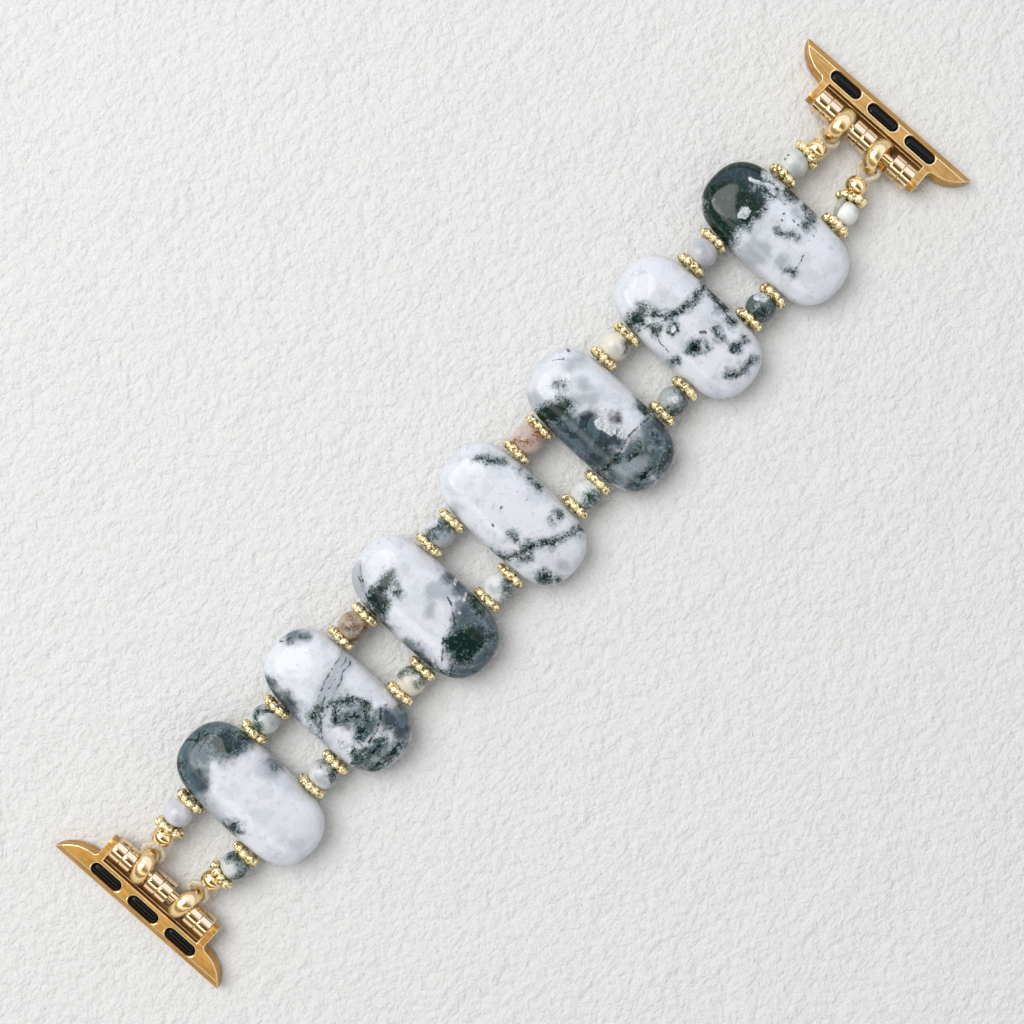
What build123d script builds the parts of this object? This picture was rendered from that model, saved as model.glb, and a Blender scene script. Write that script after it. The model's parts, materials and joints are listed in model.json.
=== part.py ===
from build123d import *
import os
from math import cos, radians, sin, sqrt, tan

# Bead watch band lying flat: X runs along the band, Y across it, Z up
# The origin is on the surface it lies on, under the middle of the band

# Clearances
seat_clearance = 0.02
turning_clearance = 0.03
bore_clearance = 0.14
running_clearance = 0.04
press_clearance = 0.02
pin_contact = 0.05
floor_clearance = 0.02
cut_overrun = 1.0

# Stone bars, drilled across their width for two strands
bar_count = 7
bar_width = 13.2
bar_length = 26.4
bar_thickness = 7.2
bar_side_bulge = 0.6
bar_end_bulge = 1.75
bar_corner_radius = 3.5
bar_edge_radius = 3.2
strand_spacing = 12.5

# Clear elastic cord
cord_radius = 0.36
cord_split = 0.1
cord_joint_gap = 0.06
end_cord_gap = 0.3
cord_bend_radius = 0.6

# Granulated metal spacers: a ring of small balls grown together
granule_radius = 0.76
granule_ring_radius = 1.84
granule_count = 9
granule_turn = 17

# Round stone beads between the bars
round_bead_radius = 2.41

# Beads of the end strands, the strand on the +Y side of its own end first
end_bead_radii = {"upper": (2.35, 1.9), "lower": (2.35, 2.35)}
# How far each end strand leans from its bore, 0, into line with its ring, 1
strand_line_shares = {"upper": (1.0, 0.3), "lower": (0.5, 0.2)}
gold_bead_radius = 1.75
gold_bore_clearance = 0.15
gold_flare_radius = 1.3
gold_flare_depth = 0.9

# Connector rings, crowned outside, each hung on its pin by one side of its bore
ring_crown_radius = 3.2
ring_rim_radius = 2.6
ring_bore_radius = 2.25
ring_width = 2.5
ring_lifts = {"upper": (0.55, 0.4), "lower": (0.55, 0.55)}
ring_turns = {"upper": (3, 4), "lower": (9, 10)}
ring_leans = {"upper": (0, 20), "lower": (0, 0)}
ring_to_bead = {"upper": (0.26, 0.7), "lower": (0.26, 0.4)}

# Cord loop round the near side of each ring
loop_clearance = 0.15
loop_leg_gap = 0.08
loop_corner_radius = 0.5
loop_shoulder_share = 0.55
gold_rise_share = 0.4

# Pins and the sleeves on them, in pairs
pin_radius = 0.9
pin_recess = 0.1
pin_end_bevel = 0.15
sleeve_radius = 1.95
sleeve_length = 2.05
sleeve_joint = 0.02
sleeve_edge = 0.1
sleeves_in_pair = 2
# Free length along the pin before each sleeve pair and ring, from the +Y ear to the -Y ear
slack_shares = {
    "upper": (0.03, 0.06, 0.18, 0.34, 0.38),
    "lower": (0.02, 0.07, 0.59, 0.25, 0.06),
}

# Slot connectors for the watch case
plate_length = 34.2
plate_thickness = 2.6
plate_depth = 6.5
ear_gap = 19.6
ear_thickness = 1.25
ear_reach = 1.45
ear_end_radius = 1.1
cove_radius = 2.6
step_depth = 2.65
step_height = 0.2
top_bevel_width = 1.25
top_bevel_drop = 0.8
under_bevel_width = 0.7
under_bevel_drop = 0.7
wing_start = 0.15
wing_foot = 0.75
wing_bulge_shares = (0.33, 0.615)
pad_count = 3
pad_pitch = 7.7
pad_slot_length = 5.75
pad_slot_width = 1.9
pad_slot_depth = 0.9
pad_rim_bevel = 0.15
pad_from_edge = 2.15
pad_play = 0.05
pad_edge_radius = 0.25
pad_sink = 0.03
connector_tilt = 11
connector_turn = 1.7
pin_reach = 10.57

# Places that follow from the sizes above
strand_height = bar_thickness / 2
strand_side = strand_spacing / 2
bore_radius = cord_radius + bore_clearance
pair_length = sleeves_in_pair * sleeve_length + (sleeves_in_pair - 1) * sleeve_joint
pin_height = ring_crown_radius + floor_clearance - max(ring_lifts["upper"])


def seat_distance(bead_radius):
    """How far from a bead's centre a granulated ring lies when the bead rests in it."""
    reach = bead_radius + granule_radius + turning_clearance
    return sqrt(reach**2 - granule_ring_radius**2)


spacer_offset = bar_width / 2 + seat_clearance + granule_radius
bar_pitch = 2 * (spacer_offset + seat_distance(round_bead_radius))
middle_bar = (bar_count - 1) / 2
end_pivot_x = middle_bar * bar_pitch + spacer_offset + seat_distance(max(end_bead_radii["upper"]))
pin_x = end_pivot_x + pin_reach


def laid(piece, place, direction, across=None):
    """Lays a piece made along Z along a direction at a place, its X side turned across."""
    return Plane(origin=place, x_dir=across, z_dir=direction).location * piece


def rod(start, end, radius):
    """A straight round rod from one point to another."""
    way = end - start
    bar = Cylinder(radius, way.length, align=(Align.CENTER, Align.CENTER, Align.MIN))
    return laid(bar, start, way.normalized())


def tube_along(points, radii, radius):
    """A round cord along runs joined by tangent arcs."""
    path = FilletPolyline(*points, radius=radii)
    return sweep(Plane(origin=path @ 0, z_dir=path % 0) * Circle(radius), path=path)


def stone_bar():
    """One pillow-shaped bar with its two bores."""
    side, end = bar_width / 2, bar_length / 2
    corner_x, corner_y = side - bar_side_bulge, end - bar_end_bulge
    outline = [
        ThreePointArc((corner_x, -corner_y), (side, 0), (corner_x, corner_y)),
        ThreePointArc((corner_x, corner_y), (0, end), (-corner_x, corner_y)),
        ThreePointArc((-corner_x, corner_y), (-side, 0), (-corner_x, -corner_y)),
        ThreePointArc((-corner_x, -corner_y), (0, -end), (corner_x, -corner_y)),
    ]
    face = make_face(outline)
    face = fillet(face.vertices(), bar_corner_radius)
    block = extrude(face, bar_thickness)
    rims = block.edges().group_by(Axis.Z)
    block = fillet(rims[0] + rims[-1], bar_edge_radius)
    bore = Rot(0, 90, 0) * Cylinder(bore_radius, bar_width + cut_overrun)
    for side_sign in (1, -1):
        block -= Pos(0, side_sign * strand_side, strand_height) * bore
    return block


def granule_ring():
    """One granulated spacer about the Z axis."""
    grain = Pos(granule_ring_radius, 0, 0) * Sphere(granule_radius)
    grains = [Rot(0, 0, 360 * n / granule_count) * grain for n in range(granule_count)]
    return grains[0].fuse(*grains[1:]).solid()


def drilled_bead(radius):
    """One round bead with a bore along Z for the cord."""
    return Sphere(radius) - Cylinder(bore_radius, 2 * radius + cut_overrun)


def gold_bead():
    """One round metal bead with a wide bore, flared on the +Z side for the doubled cord."""
    bore = 2 * cord_radius + loop_leg_gap / 2 + gold_bore_clearance
    bead = Sphere(gold_bead_radius) - Cylinder(bore, 2 * gold_bead_radius + cut_overrun)
    hung = (Align.CENTER, Align.CENTER, Align.MAX)
    flare = Cone(bore, gold_flare_radius, gold_flare_depth, align=hung)
    mouth = sqrt(gold_bead_radius**2 - gold_flare_radius**2)
    standing = (Align.CENTER, Align.CENTER, Align.MIN)
    lip = Cylinder(gold_flare_radius, gold_bead_radius, align=standing)
    return bead - Pos(0, 0, mouth) * flare - Pos(0, 0, mouth) * lip


def connector_ring():
    """One crowned ring about the Y axis."""
    half = ring_width / 2
    bore_line = Line((ring_bore_radius, 0, -half), (ring_bore_radius, 0, half))
    top_line = Line((ring_bore_radius, 0, half), (ring_rim_radius, 0, half))
    crown = ThreePointArc((ring_rim_radius, 0, half), (ring_crown_radius, 0, 0), (ring_rim_radius, 0, -half))
    under_line = Line((ring_rim_radius, 0, -half), (ring_bore_radius, 0, -half))
    section = make_face([bore_line, top_line, crown, under_line])
    return Rot(-90, 0, 0) * revolve(section, Axis.Z)


def sleeve():
    """One sleeve along the Y axis."""
    body = Cylinder(sleeve_radius, sleeve_length)
    rims = body.edges().filter_by(GeomType.CIRCLE)
    body = chamfer(rims, sleeve_edge)
    body -= Cylinder(pin_radius + running_clearance, sleeve_length + cut_overrun)
    return Rot(90, 0, 0) * body


def pin():
    """The pin along the Y axis, from ear to ear."""
    body = Cylinder(pin_radius, ear_gap + 2 * ear_thickness - 2 * pin_recess)
    rims = body.edges().filter_by(GeomType.CIRCLE)
    return Rot(90, 0, 0) * chamfer(rims, pin_end_bevel)


def wing_outline(side):
    """The outline of one ear and wing, from the ear's inner tip to the wing's point."""
    ear_in, ear_out = side * ear_gap / 2, side * (ear_gap / 2 + ear_thickness)
    foot_x, foot_y = step_depth + wing_start, side * (ear_gap / 2 + ear_thickness + wing_foot)
    tip_y = side * plate_length / 2
    bulge_x = foot_x + wing_bulge_shares[0] * (plate_depth - foot_x)
    bulge_y = foot_y + wing_bulge_shares[1] * (tip_y - foot_y)
    root_x = foot_x - wing_foot
    return [
        Line((-ear_reach, ear_in), (-ear_reach, ear_out)),
        Line((-ear_reach, ear_out), (root_x, ear_out)),
        ThreePointArc(
            (root_x, ear_out),
            (
                root_x + wing_foot * sin(radians(45)),
                ear_out + side * wing_foot * (1 - cos(radians(45))),
            ),
            (foot_x, foot_y),
        ),
        ThreePointArc((foot_x, foot_y), (bulge_x, bulge_y), (plate_depth, tip_y)),
    ]


def edge_bevel(width, drop, side):
    """The long wedge that bevels the plate's outer edge, above or below."""
    face_z = side * plate_thickness / 2
    corner = Polyline(
        (plate_depth - width, 0, face_z),
        (plate_depth + cut_overrun, 0, face_z - side * drop * (1 + cut_overrun / width)),
        (plate_depth + cut_overrun, 0, face_z + side * cut_overrun),
        (plate_depth - width, 0, face_z + side * cut_overrun),
        close=True,
    )
    return extrude(make_face(corner), plate_length / 2 + cut_overrun, both=True)


def pad_places():
    """Where the pads lie along the plate."""
    return [(n - (pad_count - 1) / 2) * pad_pitch for n in range(pad_count)]


def connector():
    """The slot connector about its pin axis: plate, wings and the two ears."""
    inner = Line((-ear_reach, -ear_gap / 2), (-ear_reach, ear_gap / 2))
    outer = Line((plate_depth, -plate_length / 2), (plate_depth, plate_length / 2))
    outline = wing_outline(1) + wing_outline(-1) + [inner, outer]
    plate = extrude(make_face(outline), plate_thickness / 2, both=True)
    ear_ends = plate.edges().filter_by(Axis.Y).group_by(Axis.X)[0]
    plate = fillet(ear_ends, ear_end_radius)
    plate -= edge_bevel(top_bevel_width, top_bevel_drop, 1)
    plate -= edge_bevel(under_bevel_width, under_bevel_drop, -1)
    plate -= Rot(90, 0, 0) * Cylinder(cove_radius, ear_gap)
    step = Box(
        step_depth,
        ear_gap,
        plate_thickness,
        align=(Align.MIN, Align.CENTER, Align.MIN),
    )
    plate -= Pos(0, 0, step_height) * step
    ear_span = ear_gap + 2 * ear_thickness + cut_overrun
    plate -= Rot(90, 0, 0) * Cylinder(pin_radius + press_clearance, ear_span)
    return plate - pad_slots()


def pad_slots():
    """The pockets for the pads, with bevelled rims."""
    slot = Rot(0, 0, 90) * SlotOverall(pad_slot_length, pad_slot_width)
    pocket = extrude(slot, -pad_slot_depth)
    rim_slot = Rot(0, 0, 90) * SlotOverall(
        pad_slot_length + 2 * pad_rim_bevel, pad_slot_width + 2 * pad_rim_bevel
    )
    rim = loft([rim_slot.face(), Pos(0, 0, -pad_rim_bevel) * slot.face()], ruled=True)
    cut = pocket + rim
    places = [Pos(plate_depth - pad_from_edge, y, plate_thickness / 2) for y in pad_places()]
    return [place * cut for place in places]


def pads():
    """The rubber pads in their pockets."""
    outline = Rot(0, 0, 90) * SlotOverall(
        pad_slot_length - 2 * pad_play, pad_slot_width - 2 * pad_play
    )
    pad = extrude(outline, pad_slot_depth - pad_play - pad_sink)
    pad = fillet(pad.edges().group_by(Axis.Z)[-1], pad_edge_radius)
    floor = plate_thickness / 2 - pad_slot_depth + pad_play
    return [Pos(plate_depth - pad_from_edge, y, floor) * pad for y in pad_places()]


def stations(end):
    """Places along the pin: centres of the three sleeve pairs and of the two rings."""
    free = ear_gap - 3 * pair_length - 2 * ring_width
    y = ear_gap / 2
    centres = []
    lengths = (pair_length, ring_width, pair_length, ring_width, pair_length)
    for share, length in zip(slack_shares[end], lengths):
        y -= share * free
        centres.append(y - length / 2)
        y -= length
    return centres[0::2], centres[1::2]


def pin_frame():
    """The pin's place at one end, its outward X turned a little as the band lies."""
    return Pos(pin_x, 0, pin_height) * Rot(0, 0, connector_turn)


def strand_layout(end, number):
    """The places of one end strand, from the pivot at its stone bead to its ring."""
    side = (1, -1)[number]
    lift = ring_lifts[end][number]
    turn, lean = radians(ring_turns[end][number]), radians(ring_leans[end][number])
    play = ring_bore_radius - pin_contact - pin_radius / (cos(turn) * cos(lean))
    leant = lift + tan(lean) * ring_width / 2
    back = sqrt(play**2 - leant**2) - tan(turn) * ring_width / 2
    frame = Plane(pin_frame())
    ring = frame.from_local_coords(Vector(-back, stations(end)[1][number], lift))
    pin_way = Vector(side * sin(turn) * cos(lean), cos(turn) * cos(lean), -sin(lean))
    axis = frame.from_local_coords(pin_way) - frame.origin
    apart = ring_crown_radius + gold_bead_radius + ring_to_bead[end][number]
    rise = gold_rise_share * (strand_height - ring.Z)
    level = sqrt(apart**2 - rise**2)
    toward = frame.from_local_coords(Vector(-level * cos(turn), side * level * sin(turn), rise))
    gold = ring + toward - frame.origin
    inward = (gold - ring).normalized()
    bore_end = Vector(middle_bar * bar_pitch + bar_width / 2, side * strand_side, strand_height)
    line_share = strand_line_shares[end][number] * (end_pivot_x - bore_end.X) / (gold.X - bore_end.X)
    pivot = Vector(end_pivot_x, bore_end.Y + line_share * (gold.Y - bore_end.Y), strand_height)
    along = (gold - pivot).normalized()
    bead_radius = end_bead_radii[end][number]
    seats = seat_distance(gold_bead_radius) + seat_distance(bead_radius)
    spare = (gold - pivot).length - seats
    return {
        "bore_end": bore_end,
        "pivot": pivot,
        "along": along,
        "spacer": gold - along * (seat_distance(gold_bead_radius) + spare / 2),
        "gold": gold,
        "inward": inward,
        "ring": ring,
        "axis": (axis - inward * axis.dot(inward)).normalized(),
        "crossing": ring + inward * (ring_bore_radius - cord_radius - loop_clearance),
        "bead_radius": bead_radius,
        "spare": spare,
    }


def end_cord(strand):
    """The cord of one end strand: straight through its beads, then looped round its ring."""
    near = strand["pivot"] - strand["along"] * strand["bead_radius"]
    straight = rod(near, strand["gold"], cord_radius)
    leg = cord_radius + loop_leg_gap / 2
    wide = ring_width / 2 + loop_clearance + cord_radius
    cross = ring_bore_radius - cord_radius - loop_clearance
    apart = (strand["gold"] - strand["ring"]).length
    neck = apart - gold_bead_radius + loop_shoulder_share * (gold_bead_radius - gold_flare_depth)
    shoulder = ring_rim_radius + cord_radius - loop_clearance / 2
    half = [(leg, apart), (leg, neck), (wide, shoulder), (wide, cross)]
    flat = half + [(-t, s) for t, s in reversed(half)]
    points = [strand["ring"] + strand["axis"] * t + strand["inward"] * s for t, s in flat]
    radii = [cord_bend_radius, cord_bend_radius, loop_corner_radius]
    loop = tube_along(points, radii + radii[::-1], cord_radius)
    return straight.fuse(loop).clean()


def last_bar_cord(end):
    """The cords through the last bar, each led into its end strand's stone bead."""
    start = (middle_bar - 0.5) * bar_pitch + round_bead_radius + cord_joint_gap
    cords = []
    for number in (0, 1):
        strand = strand_layout(end, number)
        bore_end = strand["bore_end"]
        entry = strand["pivot"] - strand["along"] * (strand["bead_radius"] + end_cord_gap)
        points = [Vector(start, bore_end.Y, bore_end.Z), bore_end, entry]
        cords.append(tube_along(points, [cord_bend_radius], cord_radius))
    return cords


def gap_cords(gap):
    """The two cords of one gap, from the bar nearer the middle out to the gap's beads."""
    side = 1 if gap > middle_bar - 0.5 else -1
    middle = abs(gap + 0.5 - middle_bar) * bar_pitch
    first = middle < bar_pitch
    start = cord_split / 2 if first else middle - bar_pitch + round_bead_radius + cord_joint_gap
    end = middle + round_bead_radius
    cords = []
    for y in (strand_side, -strand_side):
        first_end = Vector(side * start, y, strand_height)
        last_end = Vector(side * end, y, strand_height)
        cords.append(rod(first_end, last_end, cord_radius))
    return cords


def save(name, pieces):
    """Writes one node from one piece or from a list of separate pieces."""
    shape = Compound(children=list(pieces)) if isinstance(pieces, list) else pieces
    export_step(shape, "parts/" + name + ".step")


def spacer_sides(number):
    """The Y of the two spacers on a bar's +X side and of the two on its -X side."""
    in_line = (strand_side, -strand_side)
    ends = {bar_count - 1: "upper", 0: "lower"}
    if number not in ends:
        return in_line, in_line
    leaning = [strand_layout(ends[number], strand)["pivot"].Y for strand in (0, 1)]
    return (leaning, in_line) if number else (in_line, [-y for y in leaning])


def save_middle():
    """Bars, their spacers, the round beads and the cords between the bars."""
    bar, ring, bead = stone_bar(), granule_ring(), drilled_bead(round_bead_radius)
    across = Vector(1, 0, 0)
    for number in range(bar_count):
        x = (number - middle_bar) * bar_pitch
        save(f"stone_bar_{number + 1}", Pos(x, 0, 0) * bar)
        spacers = []
        for side, ys in zip((1, -1), spacer_sides(number)):
            for y in ys:
                place = Vector(x + side * spacer_offset, y, strand_height)
                leaning = abs(y) < strand_side
                turned = ring if leaning else Rot(0, 0, granule_turn * number) * ring
                spacers.append(laid(turned, place, across, Vector(0, -y, 0)))
        save(f"granule_spacers_{number + 1}", spacers)
    for gap in range(bar_count - 1):
        x = (gap + 0.5 - middle_bar) * bar_pitch
        for name, y in (("a", strand_side), ("b", -strand_side)):
            save(f"round_bead_{gap + 1}{name}", laid(bead, Vector(x, y, strand_height), across))
        save(f"gap_cord_{gap + 1}", gap_cords(gap))


def save_end(end, facing):
    """One end: its strands, rings, pin, sleeves, connector and pads."""
    ring, granules, gold = connector_ring(), granule_ring(), gold_bead()
    strands = [strand_layout(end, number) for number in (0, 1)]
    for name, strand in zip("ab", strands):
        bead = laid(drilled_bead(strand["bead_radius"]), strand["pivot"], strand["along"])
        save(f"{end}_end_bead_{name}", facing * bead)
        upward = strand["inward"].cross(strand["axis"])
        plane = Plane(origin=strand["ring"], x_dir=strand["inward"], z_dir=upward)
        save(f"{end}_ring_{name}", facing * plane.location * ring)
    save(f"{end}_tilted_spacers", [facing * laid(granules, s["spacer"], s["along"]) for s in strands])
    save(f"{end}_gold_beads", [facing * laid(gold, s["gold"], -s["inward"]) for s in strands])
    save(f"{end}_strand_cords", [facing * end_cord(s) for s in strands])
    save(f"{end}_bar_cords", [facing * cord for cord in last_bar_cord(end)])
    frame = facing * pin_frame()
    tilted = frame * Rot(0, connector_tilt, 0)
    save(f"{end}_pin", frame * pin())
    save(f"{end}_connector", tilted * connector())
    save(f"{end}_pads", [tilted * pad for pad in pads()])
    one_sleeve = sleeve()
    step = (sleeve_length + sleeve_joint) / 2
    for number, y in enumerate(stations(end)[0]):
        pair = [frame * Pos(0, y + way * step, 0) * one_sleeve for way in (1, -1)]
        save(f"{end}_sleeves_{number + 1}", pair)


def report_places():
    """Prints the axes that the pieces turn about, and the spare length in each end strand."""
    print("pitch", bar_pitch, "strand side", strand_side, "strand height", strand_height)
    print("end pivot x", end_pivot_x, "pin x", pin_x, "pin height", pin_height)
    for end in ("upper", "lower"):
        for number in (0, 1):
            strand = strand_layout(end, number)
            print(end, number, "spare", strand["spare"])
            for name in ("pivot", "along", "gold", "ring", "axis", "crossing"):
                print(end, number, name, tuple(strand[name]))


os.makedirs("parts", exist_ok=True)
save_middle()
save_end("upper", Rot(0, 0, 0))
save_end("lower", Rot(0, 0, 180))
report_places()
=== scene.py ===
import json
from math import acos, asin, copysign, cos, degrees, pi, radians, sin, sqrt, tau

import bmesh
import bpy
import numpy as np
from bpy.props import FloatProperty, FloatVectorProperty, IntProperty, PointerProperty
from mathutils import Matrix, Vector, noise


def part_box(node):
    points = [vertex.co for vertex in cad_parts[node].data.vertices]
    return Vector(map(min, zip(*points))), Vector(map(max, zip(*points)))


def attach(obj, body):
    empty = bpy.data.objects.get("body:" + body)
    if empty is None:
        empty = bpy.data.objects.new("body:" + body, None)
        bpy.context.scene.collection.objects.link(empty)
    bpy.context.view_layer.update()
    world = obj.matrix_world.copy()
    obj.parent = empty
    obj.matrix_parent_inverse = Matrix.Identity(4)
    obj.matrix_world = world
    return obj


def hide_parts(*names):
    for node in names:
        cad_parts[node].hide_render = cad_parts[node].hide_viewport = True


bl_info = {
    "name": "Bead Watch Band",
    "version": (1, 0, 0),
    "blender": (4, 5, 0),
    "location": "View3D > Sidebar > Watch Band",
    "description": "Dresses a stone bead watch band with agate, granulated spacers and slot connectors",
    "category": "Add Mesh",
}

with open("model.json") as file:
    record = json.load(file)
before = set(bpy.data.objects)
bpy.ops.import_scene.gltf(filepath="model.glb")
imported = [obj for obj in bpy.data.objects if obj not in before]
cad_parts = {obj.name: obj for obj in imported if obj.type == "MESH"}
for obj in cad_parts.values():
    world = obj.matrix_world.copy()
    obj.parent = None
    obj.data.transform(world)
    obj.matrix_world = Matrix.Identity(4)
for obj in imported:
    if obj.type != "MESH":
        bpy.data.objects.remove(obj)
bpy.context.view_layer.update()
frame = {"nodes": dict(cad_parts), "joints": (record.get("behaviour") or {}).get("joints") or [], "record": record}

MM = 0.001
ends = ("upper", "lower")
strands = ("a", "b")
bar_numbers = range(1, 8)
gap_numbers = range(1, 7)
sleeve_numbers = range(1, 4)

# Kinds of marks in the stone, each a field that the agate reads
kinds = ("slate", "moss", "haze", "white", "ink")
# The marks' borders sway by so many millimetres, in waves of so many to a millimetre
border_sway, ink_sway, wave_pitch, wave_seed = 0.55, 0.42, 0.55, 3
# How far the waves of one stone lie from those of the next
wave_steps = (7.3, 3.1, 0)
# What a field holds where its kind has no mark, in millimetres
far_away = 6.0
# The beads' waves lie so many steps beyond the bars'
bead_seed = 20
# A bead's clouds and pale moss are its ground and its moss, darker and paler by these factors
cloud_shade, moss_shade = 0.8, 2.4

# Points nearer than this are one point, in the CAD's triangles and where a turned shape closes
weld, seam_weld = 0.002 * MM, 0.001 * MM
# Faces of a connector that turn less than the first are one face; edges sharper than the second get rounded
flat_turn, sharp_turn = radians(0.5), radians(24)
# Width of the painted shade between two balls of a spacer, and of the lumps of its cast grain
crevice_width, lump_width = 0.42 * MM, 0.42 * MM
# Softness, spread and layers of the lumps' noise, and the level under which it is a pit
lump_noise, pit_level = (1.0, 2.1, 3), 0.1
# A sleeve's bore is wider than its pin, and a drill longer than its bar, by these factors
sleeve_play, drill_reach = 1.04, 1.2
# Power that squares a pad's rounded section
pad_squareness = 0.8
# Steps of the halving that finds a bar's surface
halvings = 30
# Runs along the outline of a round bead, a gold bead and a ring's crown
bead_runs, gold_runs, crown_runs = 36, 32, 16
# Steps round the axis of beads, rings, sleeves and pins
ball_steps, ring_steps, sleeve_steps, pin_steps = 56, 96, 72, 48

# Course of the second cord leg from the white bead's middle, in millimetres
second_leg_points = ((-1.7, 0.75, 0.35), (-1.35, 1.45, 1.1), (0.0, 1.85, 1.55), (1.5, 2.0, 1.2),
                     (2.3, 2.1, 0.5))

# Place, brightness and warmth of the walls that metal mirrors, from the band's lower end over the
# ceiling to its upper end
wall_levels = ((0.0, 1.25, 0), (0.1, 1.2, 0.3), (0.13, 0.24, 1), (0.28, 0.3, 1), (0.32, 2.4, 0.2),
               (0.36, 2.4, 0.5), (0.39, 0.14, 1), (0.5, 0.1, 1), (0.53, 0.5, 1), (0.59, 0.6, 0.8),
               (0.61, 1.2, -1.3), (0.85, 1.3, -1.3), (0.88, 0.2, 1), (0.91, 0.2, 1), (0.94, 1.0, 0),
               (1.0, 1.1, 0))
# Green and blue of a wall against its red, and how much of each its warmth takes away
wall_green, wall_blue = (0.98, 0.1), (1.0, 0.36)


def srgb(code):
    """A linear colour from a six-digit screen colour."""
    shares = [((code >> shift) & 255) / 255 for shift in (16, 8, 0)]
    return tuple(s / 12.92 if s <= 0.04045 else ((s + 0.055) / 1.055) ** 2.4 for s in shares)


def length(name, description, default):
    """A size in metres, from its value in millimetres."""
    return FloatProperty(name=name, description=description, default=default * MM, min=0, unit="LENGTH")


def angle(name, description, default):
    """A turn, from its value in degrees."""
    return FloatProperty(name=name, description=description, default=radians(default), subtype="ANGLE")


def power(name, description, default):
    """The power of a rounded outline; the higher, the squarer."""
    return FloatProperty(name=name, description=description, default=default, min=2)


def spot(name, description, *place):
    """A place, from its values in millimetres."""
    return FloatVectorProperty(name=name, description=description, size=len(place), subtype="XYZ_LENGTH",
                               default=[step * MM for step in place])


def colour(name, description, code):
    """A colour that a user can change."""
    return FloatVectorProperty(name=name, description=description, subtype="COLOR", size=3, min=0, max=1,
                               default=srgb(code))


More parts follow.
